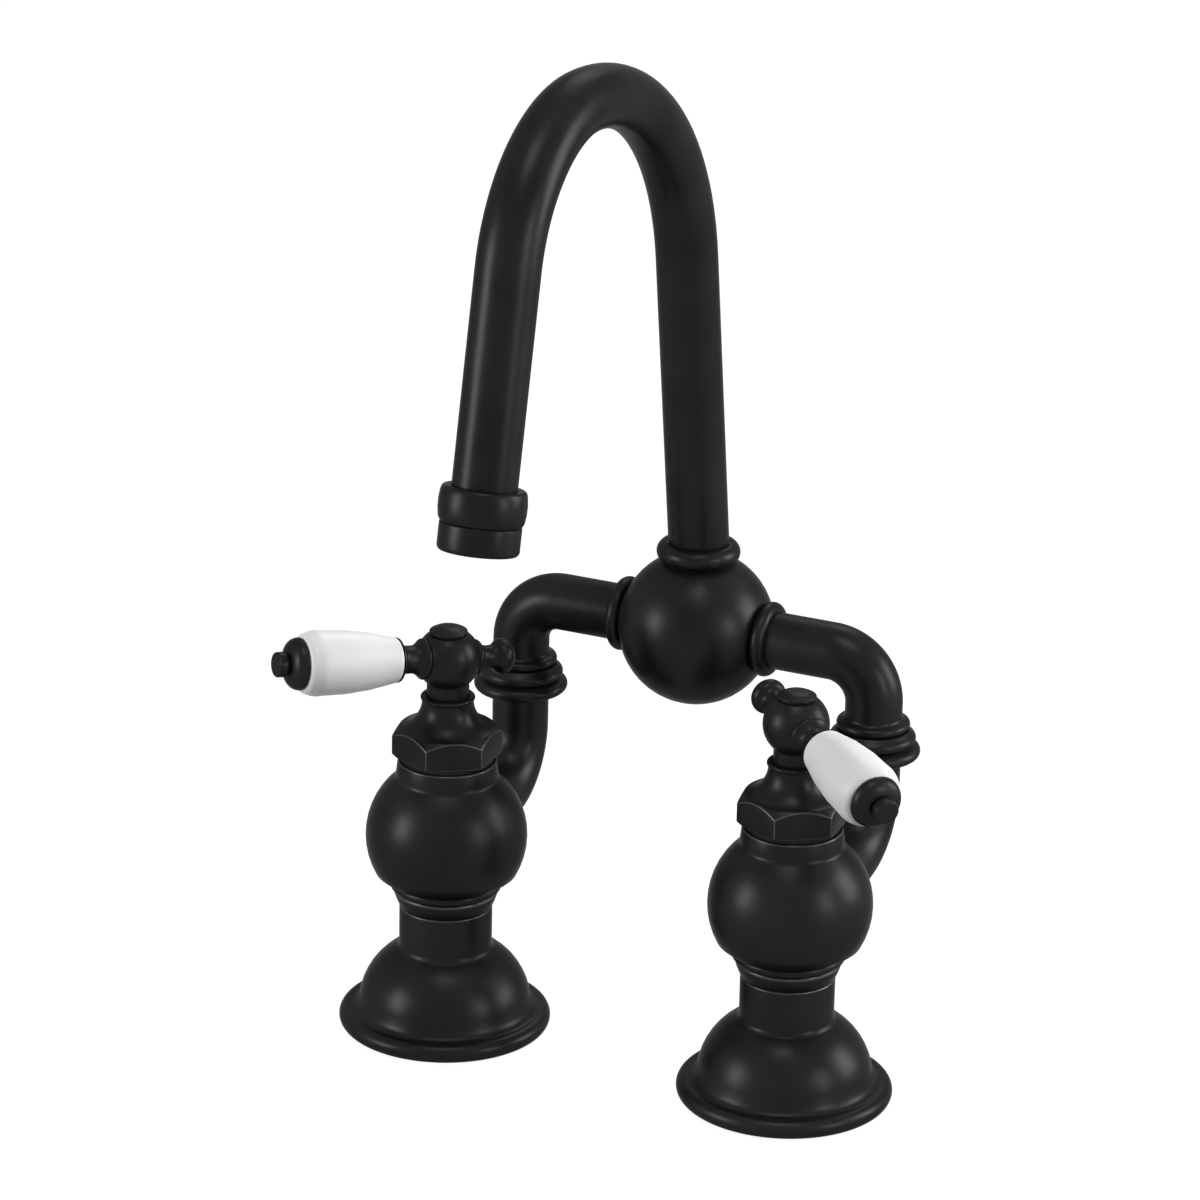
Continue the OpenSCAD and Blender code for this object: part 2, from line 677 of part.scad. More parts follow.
module union_washer(side) color("#151515") at_union(side) difference() {
    barrel(flange_r - 0.2, washer_z, tail_z);
    barrel(tube_bore_r, washer_z - cut, tail_z + cut);
}

module upper_elbow(side) color("#2b2b2d") at_union(side) difference() {
    bend_z = ball_z - upper_bend_r;
    run = union_x - upper_bend_r - arm_end;
    union() {
        barrel(flange_r, tail_z, nut_top_z);
        turned(concat(
            [[0, nut_top_z], [shoulder_ring_r - 0.6, nut_top_z]],
            arc(shoulder_ring_r - 1.3, nut_top_z + 1.4, 1.3, -60, 60, 7),
            [[tube_r + 0.5, nut_top_z + shoulder_ring_h - 0.5], [tube_r, nut_top_z + shoulder_ring_h]],
            [[0, nut_top_z + shoulder_ring_h]]
        ));
        barrel(tube_r, nut_top_z, bend_z);
        translate([0, 0, bend_z]) rotate([0, 0, 180]) {
            bend(upper_bend_r, 90, tube_r);
            past_bend(upper_bend_r, 90) cylinder(r = tube_r, h = run);
        }
    }
    barrel(tube_bore_r, tail_z - cut, bend_z);
    translate([0, 0, bend_z]) rotate([0, 0, 180]) {
        bend(upper_bend_r, 90, tube_bore_r);
        past_bend(upper_bend_r, 90) cylinder(r = tube_bore_r, h = run + cut);
    }
}

module at_ball() translate([0, bridge_back, ball_z]) children();

module arm_collar(side) color("#2b2b2d") mirrored(side) at_ball() difference() {
    rotate([0, 90, 0]) difference() {
        turned(concat(
            [[tube_r - 1, collar_mid - arm_collar_l / 2], [tube_r, collar_mid - arm_collar_l / 2]],
            [for (a = [-75 : 15 : 75]) [
                tube_r + (arm_collar_r - tube_r) * cos(a),
                collar_mid + arm_collar_l / 2 * sin(a)
            ]],
            [[tube_r, collar_mid + arm_collar_l / 2], [tube_r - 1, collar_mid + arm_collar_l / 2]]
        ));
        barrel(tube_r + run_gap, 0, ball_r + 10);
    }
    sphere(ball_r);
}

module mixing_ball() color("#2b2b2d") at_ball() difference() {
    sphere(ball_r);
    sphere(ball_r - ball_wall);
    rotate([0, 90, 0]) cylinder(r = tube_r + run_gap, h = 3 * ball_r, center = true);
    barrel(collar_neck_r + run_gap, ball_r / 2, ball_r + cut);
}

// Rounded ring on the ball, with the sleeve that holds the spout's bush
module spout_collar() color("#2b2b2d") translate([0, bridge_back, 0]) difference() {
    ring_mid_z = collar_top_z - collar_ring_h / 2;
    turned(concat(
        [[bush_r + run_gap, ball_z + ball_r * 0.7], [collar_neck_r, ball_z + ball_r * 0.7]],
        [[collar_neck_r, collar_foot_z]],
        arc(spout_collar_r - collar_ring_h / 2, ring_mid_z, collar_ring_h / 2, -55, 80, 10),
        [[spout_r + 0.6, collar_top_z], [bush_r + run_gap, collar_top_z - 0.3]]
    ));
    barrel(bush_r + run_gap, 0, bush_top_z);
}

module spout_bush() color("#c9b98a") translate([0, bridge_back, 0]) difference() {
    barrel(bush_r, bush_top_z - bush_h, bush_top_z);
    barrel(spigot_r + run_gap, bush_top_z - bush_h - cut, bush_top_z + cut);
}

// Heights of the two O-rings on the spigot
spout_ring_drop = 4;
spout_ring_pitch = 5;
spout_ring_z = [
    collar_top_z - spout_ring_drop,
    collar_top_z - spout_ring_drop - spout_ring_pitch
];

module spout_o_rings() color("#151515") translate([0, bridge_back, 0])
    for (z = spout_ring_z)
        translate([0, 0, z])
        rotate_extrude()
        translate([spigot_r - spout_ring_r, 0])
        circle(spout_ring_r, $fn = 32);

module spout_retaining_ring() color("#9a9a9a") translate([0, bridge_back, 0]) difference() {
    barrel(bush_r - 0.3, clip_z, clip_z + clip_t);
    barrel(spigot_r - clip_groove, clip_z - cut, clip_z + clip_t + cut);
    translate([0, -spigot_r, clip_z + clip_t / 2]) cube([4, 2 * spigot_r, 4], center = true);
}

// Thin band that joins one length of the bent tube to the next
module seam(r) cylinder(r = r + seam_lip, h = seam_h, center = true);

// The spout's centreline: riser, wide rear bend, tight front bend, outlet leg
module spout_path(r, start, leg) {
    $fn = 48;
    barrel(r, start, riser_len - seam_gap);
    translate([0, 0, riser_len]) {
        seam(r);
        bend(rear_bend_r, rear_bend_turn - seam_gap, r);
        past_bend(rear_bend_r, rear_bend_turn) {
            seam(r);
            bend(front_bend_r, front_bend_turn - seam_gap, r);
            past_bend(front_bend_r, front_bend_turn) {
                seam(r);
                cylinder(r = r, h = leg);
            }
        }
    }
}

module on_spout() translate([0, bridge_back, collar_top_z]) rotate([0, lean, -90]) children();

module at_outlet()
    on_spout()
    translate([0, 0, riser_len])
    past_bend(rear_bend_r, rear_bend_turn)
    past_bend(front_bend_r, front_bend_turn)
    translate([0, 0, outlet_leg])
    children();

// Bent tube cut level above the collar, with the spigot that turns in the bush
module spout_tube() color("#2b2b2d") difference() {
    union() {
        difference() {
            on_spout() spout_path(spout_r, -foot_web, outlet_leg + tail_len);
            translate([0, bridge_back, 0]) barrel(3 * spout_r, collar_top_z - spout_r, foot_gap_z);
        }
        translate([0, bridge_back, 0]) barrel(spigot_r, spigot_foot_z, foot_gap_z + 1);
    }
    on_spout() spout_path(spout_bore_r, foot_web, outlet_leg + tail_len + cut);
    translate([0, bridge_back, 0]) {
        barrel(spigot_bore_r, spigot_foot_z - cut, collar_top_z + spout_r / 2);
        for (z = spout_ring_z)
            difference() {
                barrel(spigot_r + cut, z - spout_ring_r, z + spout_ring_r);
                barrel(spigot_r - 2 * spout_ring_r, z - 2, z + 2);
            }
        difference() {
            barrel(spigot_r + cut, clip_z - 0.05, clip_z + clip_t + 0.05);
            barrel(spigot_r - clip_groove, clip_z - 1, clip_z + clip_t + 1);
        }
    }
}

module outlet_collar() color("#2b2b2d") at_outlet() difference() {
    edge_r = 1.1;
    side_r = 2 * outlet_collar_h;
    turned(concat(
        [[0, 0]],
        arc(outlet_collar_r - edge_r - 0.4, edge_r, edge_r, -90, -15, 5),
        arc(outlet_collar_r - side_r, outlet_collar_h / 2, side_r, -10, 11, 6),
        [[housing_r - 0.1, outlet_collar_h]],
        [[thread_r, outlet_collar_h], [thread_r, tail_len], [0, tail_len]]
    ));
    barrel(spout_r + run_gap, -cut, tail_len + cut);
}

module aerator_housing() color("#2b2b2d") at_outlet() difference() {
    foot = outlet_collar_h + housing_h;
    turned([
        [0, outlet_collar_h], [housing_r - 0.3, outlet_collar_h], [housing_r, outlet_collar_h + 0.3],
        [housing_r, foot - 0.9], [housing_r - 0.3, foot - 0.3], [housing_r - 1, foot], [0, foot]
    ]);
    barrel(thread_r + run_gap, outlet_collar_h - cut, foot - lip_t);
    barrel(thread_r - 1.2, foot - lip_t - cut, foot + cut);
}

// Disc with rings of small holes that straighten the flow
module aerator_insert() color("#d8d8d4") at_outlet() {
    foot = outlet_collar_h + housing_h - lip_t;
    difference() {
        barrel(thread_r - 0.05, foot - insert_t, foot);
        barrel(insert_hole_r, foot - insert_t - cut, foot + cut);
        for (ring = [1, 2], i = [0 : 6 * ring - 1])
            rotate([0, 0, 60 * i / ring])
            translate([ring * thread_r * 0.34, 0, 0])
            barrel(insert_hole_r, foot - insert_t - cut, foot + cut);
    }
}

module aerator_washer() color("#151515") at_outlet() difference() {
    top = outlet_collar_h + housing_h - lip_t - insert_t;
    barrel(thread_r - 0.1, tail_len, top);
    barrel(spout_bore_r + 0.4, tail_len - cut, top + cut);
}

// Left side
base_flange(LEFT);  // left_base_flange
deck_gasket(LEFT);  // left_deck_gasket
inlet_shank(LEFT);  // left_inlet_shank
valve_body(LEFT);  // left_valve_body
cartridge_body(LEFT);  // left_cartridge_body
cartridge_seal(LEFT);  // left_cartridge_seal
fixed_disc(LEFT);  // left_fixed_disc
turning_disc(LEFT);  // left_turning_disc
cartridge_stem(LEFT);  // left_cartridge_stem
stem_o_ring(LEFT);  // left_stem_o_ring
bonnet_nut(LEFT);  // left_bonnet_nut
handle_hub(LEFT);  // left_handle_hub
handle_cap(LEFT);  // left_handle_cap
handle_screw(LEFT);  // left_handle_screw
lever_rod(LEFT);  // left_lever_rod
lever_collar(LEFT);  // left_lever_collar
lever_grip(LEFT);  // left_lever_grip
grip_end_cap(LEFT);  // left_grip_end_cap
tail_knob(LEFT);  // left_tail_knob
lower_elbow(LEFT);  // left_lower_elbow
union_nut(LEFT);  // left_union_nut
union_washer(LEFT);  // left_union_washer
upper_elbow(LEFT);  // left_upper_elbow
arm_collar(LEFT);  // left_arm_collar

// Right side
base_flange(RIGHT);  // right_base_flange
deck_gasket(RIGHT);  // right_deck_gasket
inlet_shank(RIGHT);  // right_inlet_shank
valve_body(RIGHT);  // right_valve_body
cartridge_body(RIGHT);  // right_cartridge_body
cartridge_seal(RIGHT);  // right_cartridge_seal
fixed_disc(RIGHT);  // right_fixed_disc
turning_disc(RIGHT);  // right_turning_disc
cartridge_stem(RIGHT);  // right_cartridge_stem
stem_o_ring(RIGHT);  // right_stem_o_ring
bonnet_nut(RIGHT);  // right_bonnet_nut
handle_hub(RIGHT);  // right_handle_hub
handle_cap(RIGHT);  // right_handle_cap
handle_screw(RIGHT);  // right_handle_screw
lever_rod(RIGHT);  // right_lever_rod
lever_collar(RIGHT);  // right_lever_collar
lever_grip(RIGHT);  // right_lever_grip
grip_end_cap(RIGHT);  // right_grip_end_cap
tail_knob(RIGHT);  // right_tail_knob
lower_elbow(RIGHT);  // right_lower_elbow
union_nut(RIGHT);  // right_union_nut
union_washer(RIGHT);  // right_union_washer
upper_elbow(RIGHT);  // right_upper_elbow
arm_collar(RIGHT);  // right_arm_collar

// Middle
mixing_ball();
spout_collar();
spout_bush();
spout_o_rings();
spout_retaining_ring();
spout_tube();
outlet_collar();
aerator_housing();
aerator_insert();
aerator_washer();
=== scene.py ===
import json
import math

import bmesh
import bpy
from mathutils import Matrix, Vector


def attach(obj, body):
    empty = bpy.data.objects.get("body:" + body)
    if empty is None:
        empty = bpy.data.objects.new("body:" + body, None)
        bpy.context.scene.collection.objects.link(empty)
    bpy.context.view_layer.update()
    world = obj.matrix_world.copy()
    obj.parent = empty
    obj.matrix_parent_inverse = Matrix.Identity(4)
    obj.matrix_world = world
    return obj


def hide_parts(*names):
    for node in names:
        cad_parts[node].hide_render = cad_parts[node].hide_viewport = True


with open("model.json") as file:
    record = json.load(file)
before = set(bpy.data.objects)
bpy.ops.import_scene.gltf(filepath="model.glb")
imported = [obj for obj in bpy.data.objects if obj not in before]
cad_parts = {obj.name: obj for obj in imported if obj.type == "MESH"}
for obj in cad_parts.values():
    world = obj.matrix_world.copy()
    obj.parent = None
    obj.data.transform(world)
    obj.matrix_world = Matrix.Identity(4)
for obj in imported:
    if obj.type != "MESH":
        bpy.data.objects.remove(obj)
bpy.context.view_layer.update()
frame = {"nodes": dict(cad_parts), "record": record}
print("frame loaded:", len(frame["nodes"]), "nodes")

mm = 0.001


# camera, as the photograph sees the faucet

cameraSetup = {
    "turn": 24.65,  # degrees to the right of straight in front
    "lift": 20.5,  # degrees above the deck
    "roll": 1.16,  # degrees
    "aim": (0, 0, 116.64),  # mm
    "slide": (-5.75, 14.9),  # mm across and up, so that the object sits where the photo has it
    "distance": 1455.1,  # mm
    "focalPixels": 5504.5,
    "frameWidth": 1200,  # pixels
    "sensorWidth": 36,  # mm
    "farthest": 100,  # metres that the camera sees
}


def addCamera(setup):
    turn, lift, roll = (math.radians(setup[angle]) for angle in ("turn", "lift", "roll"))
    right = Vector((math.cos(turn), math.sin(turn), 0))
    back = Vector((math.sin(turn) * math.cos(lift), -math.cos(turn) * math.cos(lift), math.sin(lift)))
    up = back.cross(right)
    slideRight, slideUp = setup["slide"]
    place = Vector(setup["aim"]) + right * slideRight + up * slideUp + back * setup["distance"]
    rolledRight = right * math.cos(roll) + up * math.sin(roll)
    rolledUp = up * math.cos(roll) - right * math.sin(roll)
    data = bpy.data.cameras.new("photoCamera")
    data.sensor_width = setup["sensorWidth"]
    data.sensor_fit = "HORIZONTAL"
    data.lens = setup["focalPixels"] / setup["frameWidth"] * setup["sensorWidth"]
    data.clip_end = setup["farthest"]
    camera = bpy.data.objects.new("photoCamera", data)
    bpy.context.scene.collection.objects.link(camera)
    axes = Matrix((rolledRight, rolledUp, back)).transposed()
    camera.matrix_world = Matrix.Translation(place * mm) @ axes.to_4x4()
    bpy.context.scene.camera = camera


addCamera(cameraSetup)
print("camera placed")


# materials; noise scales are per metre, and the heights of bumps are in metres

noiseLow = 0.3  # a finish changes from its one end to the other between these two values of its noise
noiseHigh = 0.7


def newMaterial(name):
    material = bpy.data.materials.new(name)
    material.use_nodes = True
    nodes = material.node_tree.nodes
    return material, nodes, material.node_tree.links, nodes["Principled BSDF"]


def addNoise(nodes, links, scale, detail, stretch=None):
    place = nodes.new("ShaderNodeTexCoord").outputs["Object"]
    if stretch:
        mapping = nodes.new("ShaderNodeMapping")
        mapping.inputs["Scale"].default_value = stretch
        links.new(place, mapping.inputs["Vector"])
        place = mapping.outputs["Vector"]
    noise = nodes.new("ShaderNodeTexNoise")
    noise.inputs["Scale"].default_value = scale
    noise.inputs["Detail"].default_value = detail
    links.new(place, noise.inputs["Vector"])
    return noise.outputs["Fac"]


def spread(nodes, links, source, low, high):
    ranged = nodes.new("ShaderNodeMapRange")
    ranged.inputs["From Min"].default_value = noiseLow
    ranged.inputs["From Max"].default_value = noiseHigh
    ranged.inputs["To Min"].default_value = low
    ranged.inputs["To Max"].default_value = high
    links.new(source, ranged.inputs["Value"])
    return ranged.outputs["Result"]


def tint(nodes, links, source, first, second):
    ramp = nodes.new("ShaderNodeValToRGB")
    ramp.color_ramp.elements[0].position = noiseLow
    ramp.color_ramp.elements[1].position = noiseHigh
    ramp.color_ramp.elements[0].color = (*first, 1)
    ramp.color_ramp.elements[1].color = (*second, 1)
    links.new(source, ramp.inputs["Fac"])
    return ramp.outputs["Color"]


def paint(nodes, links, shader, source, look):
    links.new(tint(nodes, links, source, look["dark"], look["light"]), shader.inputs["Base Color"])
    links.new(spread(nodes, links, source, look["smoothest"], look["roughest"]), shader.inputs["Roughness"])


def addBump(nodes, links, shader, source, strength, height):
    bump = nodes.new("ShaderNodeBump")
    bump.inputs["Strength"].default_value = strength
    bump.inputs["Distance"].default_value = height
    links.new(source, bump.inputs["Height"])
    links.new(bump.outputs["Normal"], shader.inputs["Normal"])


blackCoat = {
    "name": "blackCoat",
    "dark": (0.0158, 0.0158, 0.0157),
    "light": (0.0215, 0.0215, 0.0212),
    "smoothest": 0.32,
    "roughest": 0.38,
    "sheen": 0.6,  # share of the coat that shines like metal; the rest is matt
    "rim": 0.55,  # how much of a bare metal's shine is left where the surface turns away
    "clouds": 60,
    "grain": 2600,
    "grainStrength": 0.35,
    "grainHeight": 0.00002,
}
paintedHighlightCoat = {  # the same coat made lighter on bevelled edges: a painted highlight for the light that the edges catch
    **blackCoat,
    "name": "paintedHighlightCoat",
    "dark": (0.045, 0.044, 0.042),
    "light": (0.085, 0.083, 0.080),
}
glaze = {
    "name": "whitePorcelain",
    "dark": (0.74, 0.74, 0.735),
    "light": (0.79, 0.79, 0.785),
    "smoothest": 0.38,
    "roughest": 0.46,
    "gloss": 0.3,
    "clouds": 90,
    "ripples": 160,
    "rippleStrength": 0.2,
    "rippleHeight": 0.00004,
}
brass = {
    "name": "turnedBrass",
    "dark": (0.50, 0.34, 0.13),
    "light": (0.66, 0.48, 0.22),
    "smoothest": 0.24,
    "roughest": 0.36,
    "stretch": (1, 1, 12),  # draws the noise out into lines around the piece
}
steel = {
    "name": "plainSteel",
    "dark": (0.42, 0.42, 0.43),
    "light": (0.58, 0.58, 0.58),
    "smoothest": 0.25,
    "roughest": 0.38,
    "stretch": (1, 1, 10),
}
ceramic = {
    "name": "lappedCeramic",
    "dark": (0.72, 0.70, 0.64),
    "light": (0.80, 0.78, 0.73),
    "smoothest": 0.12,
    "roughest": 0.2,
    "clouds": 300,
}
rubber = {
    "name": "blackRubber",
    "dark": (0.010, 0.010, 0.010),
    "light": (0.020, 0.020, 0.020),
    "smoothest": 0.6,
    "roughest": 0.75,
    "clouds": 900,
}
acetal = {
    "name": "paleAcetal",
    "dark": (0.66, 0.65, 0.61),
    "light": (0.74, 0.73, 0.69),
    "smoothest": 0.35,
    "roughest": 0.45,
    "clouds": 500,
}
toolMarks = {"scale": 400, "strength": 0.15, "height": 0.00003}  # on turned brass and steel
skin = {"strength": 0.2, "height": 0.00003}  # unevenness of ceramic, rubber and plastic


def makeBlackCoat(look):
    material, nodes, links, shader = newMaterial(look["name"])
    clouds = addNoise(nodes, links, look["clouds"], detail=4)
    grain = addNoise(nodes, links, look["grain"], detail=2)
    paint(nodes, links, shader, clouds, look)
    shader.inputs["Metallic"].default_value = look["sheen"]
    shader.inputs["Specular IOR Level"].default_value = 0
    shader.inputs["Specular Tint"].default_value = (look["rim"], look["rim"], look["rim"], 1)
    addBump(nodes, links, shader, grain, look["grainStrength"], look["grainHeight"])
    return material


def makePorcelain(look):
    material, nodes, links, shader = newMaterial(look["name"])
    clouds = addNoise(nodes, links, look["clouds"], detail=3)
    ripples = addNoise(nodes, links, look["ripples"], detail=1)
    paint(nodes, links, shader, clouds, look)
    shader.inputs["Specular IOR Level"].default_value = look["gloss"]
    addBump(nodes, links, shader, ripples, look["rippleStrength"], look["rippleHeight"])
    return material


def makeMetal(look):
    material, nodes, links, shader = newMaterial(look["name"])
    marks = addNoise(nodes, links, toolMarks["scale"], detail=3, stretch=look["stretch"])
    paint(nodes, links, shader, marks, look)
    shader.inputs["Metallic"].default_value = 1
    addBump(nodes, links, shader, marks, toolMarks["strength"], toolMarks["height"])
    return material


def makePlain(look):
    material, nodes, links, shader = newMaterial(look["name"])
    clouds = addNoise(nodes, links, look["clouds"], detail=4)
    paint(nodes, links, shader, clouds, look)
    addBump(nodes, links, shader, clouds, skin["strength"], skin["height"])
    return material


finishes = {
    "black_metal": makeBlackCoat(blackCoat),
    "porcelain": makePorcelain(glaze),
    "brass": makeMetal(brass),
    "steel": makeMetal(steel),
    "ceramic": makePlain(ceramic),
    "rubber": makePlain(rubber),
    "bush_plastic": makePlain(acetal),
}
# a lighter copy of the black coat, used as a painted highlight on bevelled edges
paintedEdgeHighlight = makeBlackCoat(paintedHighlightCoat)
# the last material counted is the painted edge highlight
print("materials made:", len(finishes), "and the rubbed edge")


# modelling helpers; everything is drawn in millimetres and scaled to metres when it is done
# a turned piece's profile goes through (radius, height), or (radius, height, bulge) for an arc whose
# middle stands out from the straight line by the bulge

fineness = {
    "around": 96,  # faces around a turned piece that names no number of its own
    "tube": 64,  # faces around a tube
    "arc": 7,  # degrees to a step of an arc in a profile
    "leastArc": 3,  # steps
    "bend": 3,  # degrees to a step of a tube's bend
    "leastBend": 8,  # steps
    "edge": 3,  # faces across a softened edge
}
tolerance = {  # in mm
    "ring": 0.01,  # edges this close to a named ring belong to it
    "weld": 0.001,  # points closer than this are the same
    "sliver": 0.0005,  # edges shorter than this are dissolved
    "cut": 0.0001,  # points this close to a cutting plane lie in it
}


def edgesOf(parts):
    return [part for part in parts if isinstance(part, bmesh.types.BMEdge)]


def vertsOf(parts):
    return [part for part in parts if isinstance(part, bmesh.types.BMVert)]


def facing(place, direction):  # a matrix that turns z along the direction and moves to the place
    return Matrix.Translation(place) @ direction.to_track_quat("Z", "Y").to_matrix().to_4x4()


def drawLeg(bm, last, leg):
    if len(leg) == 2:
        new = bmesh.ops.extrude_vert_indiv(bm, verts=[last])["verts"][0]
        new.co = (leg[0], 0, leg[1])
        return new
    start = Vector((last.co.x, last.co.z))
    end, bulge = Vector(leg[:2]), leg[2]
    chord = end - start
    across = Vector((chord.y, -chord.x)).normalized()
    radius = (chord.length_squared / 4 + bulge * bulge) / (2 * abs(bulge))
    centre = (start + end) / 2 + across * (bulge - math.copysign(radius, bulge))
    turn = math.copysign(4 * math.atan(2 * abs(bulge) / chord.length), bulge)
    steps = max(fineness["leastArc"], round(abs(math.degrees(turn)) / fineness["arc"]))
    made = bmesh.ops.spin(
        bm, geom=[last], cent=(centre.x, 0, centre.y), axis=(0, -1, 0), angle=turn, steps=steps,
    )
    return vertsOf(made["geom_last"])[0]


def lathe(bm, profile, around):
    last = bm.verts.new((profile[0][0], 0, profile[0][1]))
    for leg in profile[1:]:
        last = drawLeg(bm, last, leg)
    bmesh.ops.spin(
        bm, geom=bm.verts[:] + bm.edges[:], cent=(0, 0, 0), axis=(0, 0, 1),
        angle=2 * math.pi, steps=around, use_merge=True,
    )
    bmesh.ops.remove_doubles(bm, verts=bm.verts, dist=tolerance["weld"])
    bmesh.ops.dissolve_degenerate(bm, edges=bm.edges, dist=tolerance["sliver"])


def onRing(vert, radius, height):
    fromAxis = math.hypot(vert.co.x, vert.co.y)
    return abs(fromAxis - radius) < tolerance["ring"] and abs(vert.co.z - height) < tolerance["ring"]


def softenRings(bm, width, rings):
    picked = []
    for edge in bm.edges:
        if any(all(onRing(vert, *ring) for vert in edge.verts) for ring in rings):
            picked.append(edge)
    made = bmesh.ops.bevel(
        bm, geom=picked, offset=width, offset_type="OFFSET", segments=fineness["edge"],
        profile=0.5, affect="EDGES", material=-1, clamp_overlap=True,
    )
    return made["faces"]


def paintHighlight(faces):  # marks faces for the painted edge highlight, the second material of a piece
    for face in faces:
        face.material_index = 1


def cutOff(bm, place, outward):  # takes away what lies beyond a plane and closes the cut
    made = bmesh.ops.bisect_plane(
        bm, geom=bm.verts[:] + bm.edges[:] + bm.faces[:], dist=tolerance["cut"],
        plane_co=place, plane_no=outward, clear_outer=True,
    )
    bmesh.ops.edgenet_fill(bm, edges=edgesOf(made["geom_cut"]))


def sweepTube(bm, radius, place, heading, legs):
    # legs are ("run", length) or ("bend", radius, degrees, towards)
    place, heading = Vector(place), Vector(heading).normalized()
    bmesh.ops.create_circle(
        bm, cap_ends=False, radius=radius, segments=fineness["tube"], matrix=facing(place, heading),
    )
    startEdges = bm.edges[:]
    edges = startEdges
    for kind, size, *bend in legs:
        if kind == "run":
            made = bmesh.ops.extrude_edge_only(bm, edges=edges)["geom"]
            edges = edgesOf(made)
            bmesh.ops.translate(bm, verts=vertsOf(made), vec=heading * size)
            place = place + heading * size
        else:
            degrees, towards = bend
            turn = math.radians(degrees)
            towards = Vector(towards)
            towards = (towards - heading * towards.dot(heading)).normalized()
            axis = heading.cross(towards)
            centre = place + towards * size
            steps = max(fineness["leastBend"], round(degrees / fineness["bend"]))
            made = bmesh.ops.spin(bm, geom=edges, cent=centre, axis=axis, angle=turn, steps=steps)
            edges = edgesOf(made["geom_last"])
            turned = Matrix.Rotation(turn, 4, axis)
            place = centre + turned @ (place - centre)
            heading = (turned @ heading).normalized()
    for rim in (startEdges, edges):
        bmesh.ops.edgenet_fill(bm, edges=rim)
    return place, heading


def addBmesh(bm, other):
    scratch = bpy.data.meshes.new("scratch")
    other.to_mesh(scratch)
    other.free()
    bm.from_mesh(scratch)
    bpy.data.meshes.remove(scratch)


def finishPiece(bm, name, body, slot, node, place=None, sharp=40):  # edges over so many degrees stay sharp
    bmesh.ops.remove_doubles(bm, verts=bm.verts, dist=tolerance["weld"])
    bmesh.ops.recalc_face_normals(bm, faces=bm.faces)
    bmesh.ops.transform(bm, matrix=Matrix.Scale(mm, 4) @ (place or Matrix.Identity(4)), verts=bm.verts)
    mesh = bpy.data.meshes.new(name)
    bm.to_mesh(mesh)
    bm.free()
    mesh.shade_smooth()
    mesh.set_sharp_from_angle(angle=math.radians(sharp))
    mesh.materials.append(finishes[slot])
    # pieces with marked faces also get the painted edge highlight as their second material
    if any(face.material_index for face in mesh.polygons):
        mesh.materials.append(paintedEdgeHighlight)
    piece = bpy.data.objects.new(name, mesh)
    bpy.context.scene.collection.objects.link(piece)
    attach(piece, body)
    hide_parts(node)


def turnedPiece(name, body, slot, node, shape, place):
    bm = bmesh.new()
    lathe(bm, shape["profile"], shape.get("around", fineness["around"]))
    for width, rings in shape.get("soft", ()):
        softenRings(bm, width, rings)
    # these rings are bevelled and painted lighter: a painted highlight on the edge
    for width, rings in shape.get("paintedHighlight", ()):
        paintHighlight(softenRings(bm, width, rings))
    finishPiece(bm, name, body, slot, node, place)


# the two pillars; heights are from the deck

pillars = {  # lever angles in degrees: turned forwards from straight outwards, and down from level
    "left": {"side": -1, "turn": 51, "droop": -6.5},
    "right": {"side": 1, "turn": 39, "droop": 7},
}
spacing = 101.6
leverHeight = 107.1

flange = {
    "profile": [
        (10.65, 35.5), (10.65, 20.57), (12.8, 20.57), (21.5, 5.5, -2.33), (21.5, 2.0), (25.0, 2.0),
        (25.0, 0.0), (26.4, 0.0), (26.4, 5.2, 2.6), (25.78, 5.24), (23.94, 6.78, -0.32), (23.6, 7.5),
        (13.81, 22.53, 2.17), (12.7, 24.44, -0.296), (12.7, 35.5), (10.65, 35.5),
    ],
    "around": 128,
    "soft": [(0.2, [(26.4, 0.0), (25.0, 0.0)])],  # widths of edges, and the rings that have them
    # the column's top edge gets the painted highlight
    "paintedHighlight": [(0.4, [(12.7, 35.5)])],
}
valve = {
    "profile": [
        (0, 35.5), (12.2, 35.5), (13.0, 36.3, 0.1), (14.3, 39.8, 0.1), (14.0, 40.3), (14.06, 40.32),
        (14.06, 43.277, 1.239), (14.8, 43.6), (17.4, 44.2), (19.387, 45.6, 0.1), (14.575, 72.479, 4.75),
        (13.9, 73.977, -0.177), (13.4, 78.0), (12.6, 78.0), (12.6, 79.5), (0, 79.5),
    ],
    "around": 128,
    # the ring under the hexagon and the ring below the bead get the painted highlight
    "paintedHighlight": [(0.35, [(13.4, 78.0), (14.3, 39.8)])],
}
bonnet = {
    "profile": [
        (0, 79.5), (14.16, 79.5), (15.4, 80.2), (15.4, 85.1), (13.06, 87.3), (12.76, 87.3),
        (7.0, 95.13, -1.595), (7.1, 95.48), (6.8, 96.6, 0.445), (6.05, 96.6),
        (6.05, 95.1), (4.5, 95.1), (4.5, 86.0), (0, 86.0),
    ],
    "around": 144,
    "flat": 13.16,  # from the middle to each of the six flats
    "turn": 64,  # degrees from straight right to the middle of the first flat
    "edge": 0.22,
    "crisp": 15,  # edges of the flats above so many degrees get the painted edge highlight
}
hub = {
    "profile": [
        (0, 95.4), (5.75, 95.4), (5.75, 100.372), (5.4, 114.11, 3.274), (0, 114.11),
    ],
    "soft": [(0.45, [(5.75, 100.372)]), (0.3, [(5.4, 114.11)])],
}
cap = {
    "profile": [
        (0, 112.1), (4.0, 112.1), (4.0, 114.11), (4.6, 114.11), (5.1, 114.6, 0.2), (4.85, 115.3, 0.2),
        (0, 116.31, 0.45),
    ],
}

# the lever's pieces are drawn along the lever, from the pillar's axis outwards

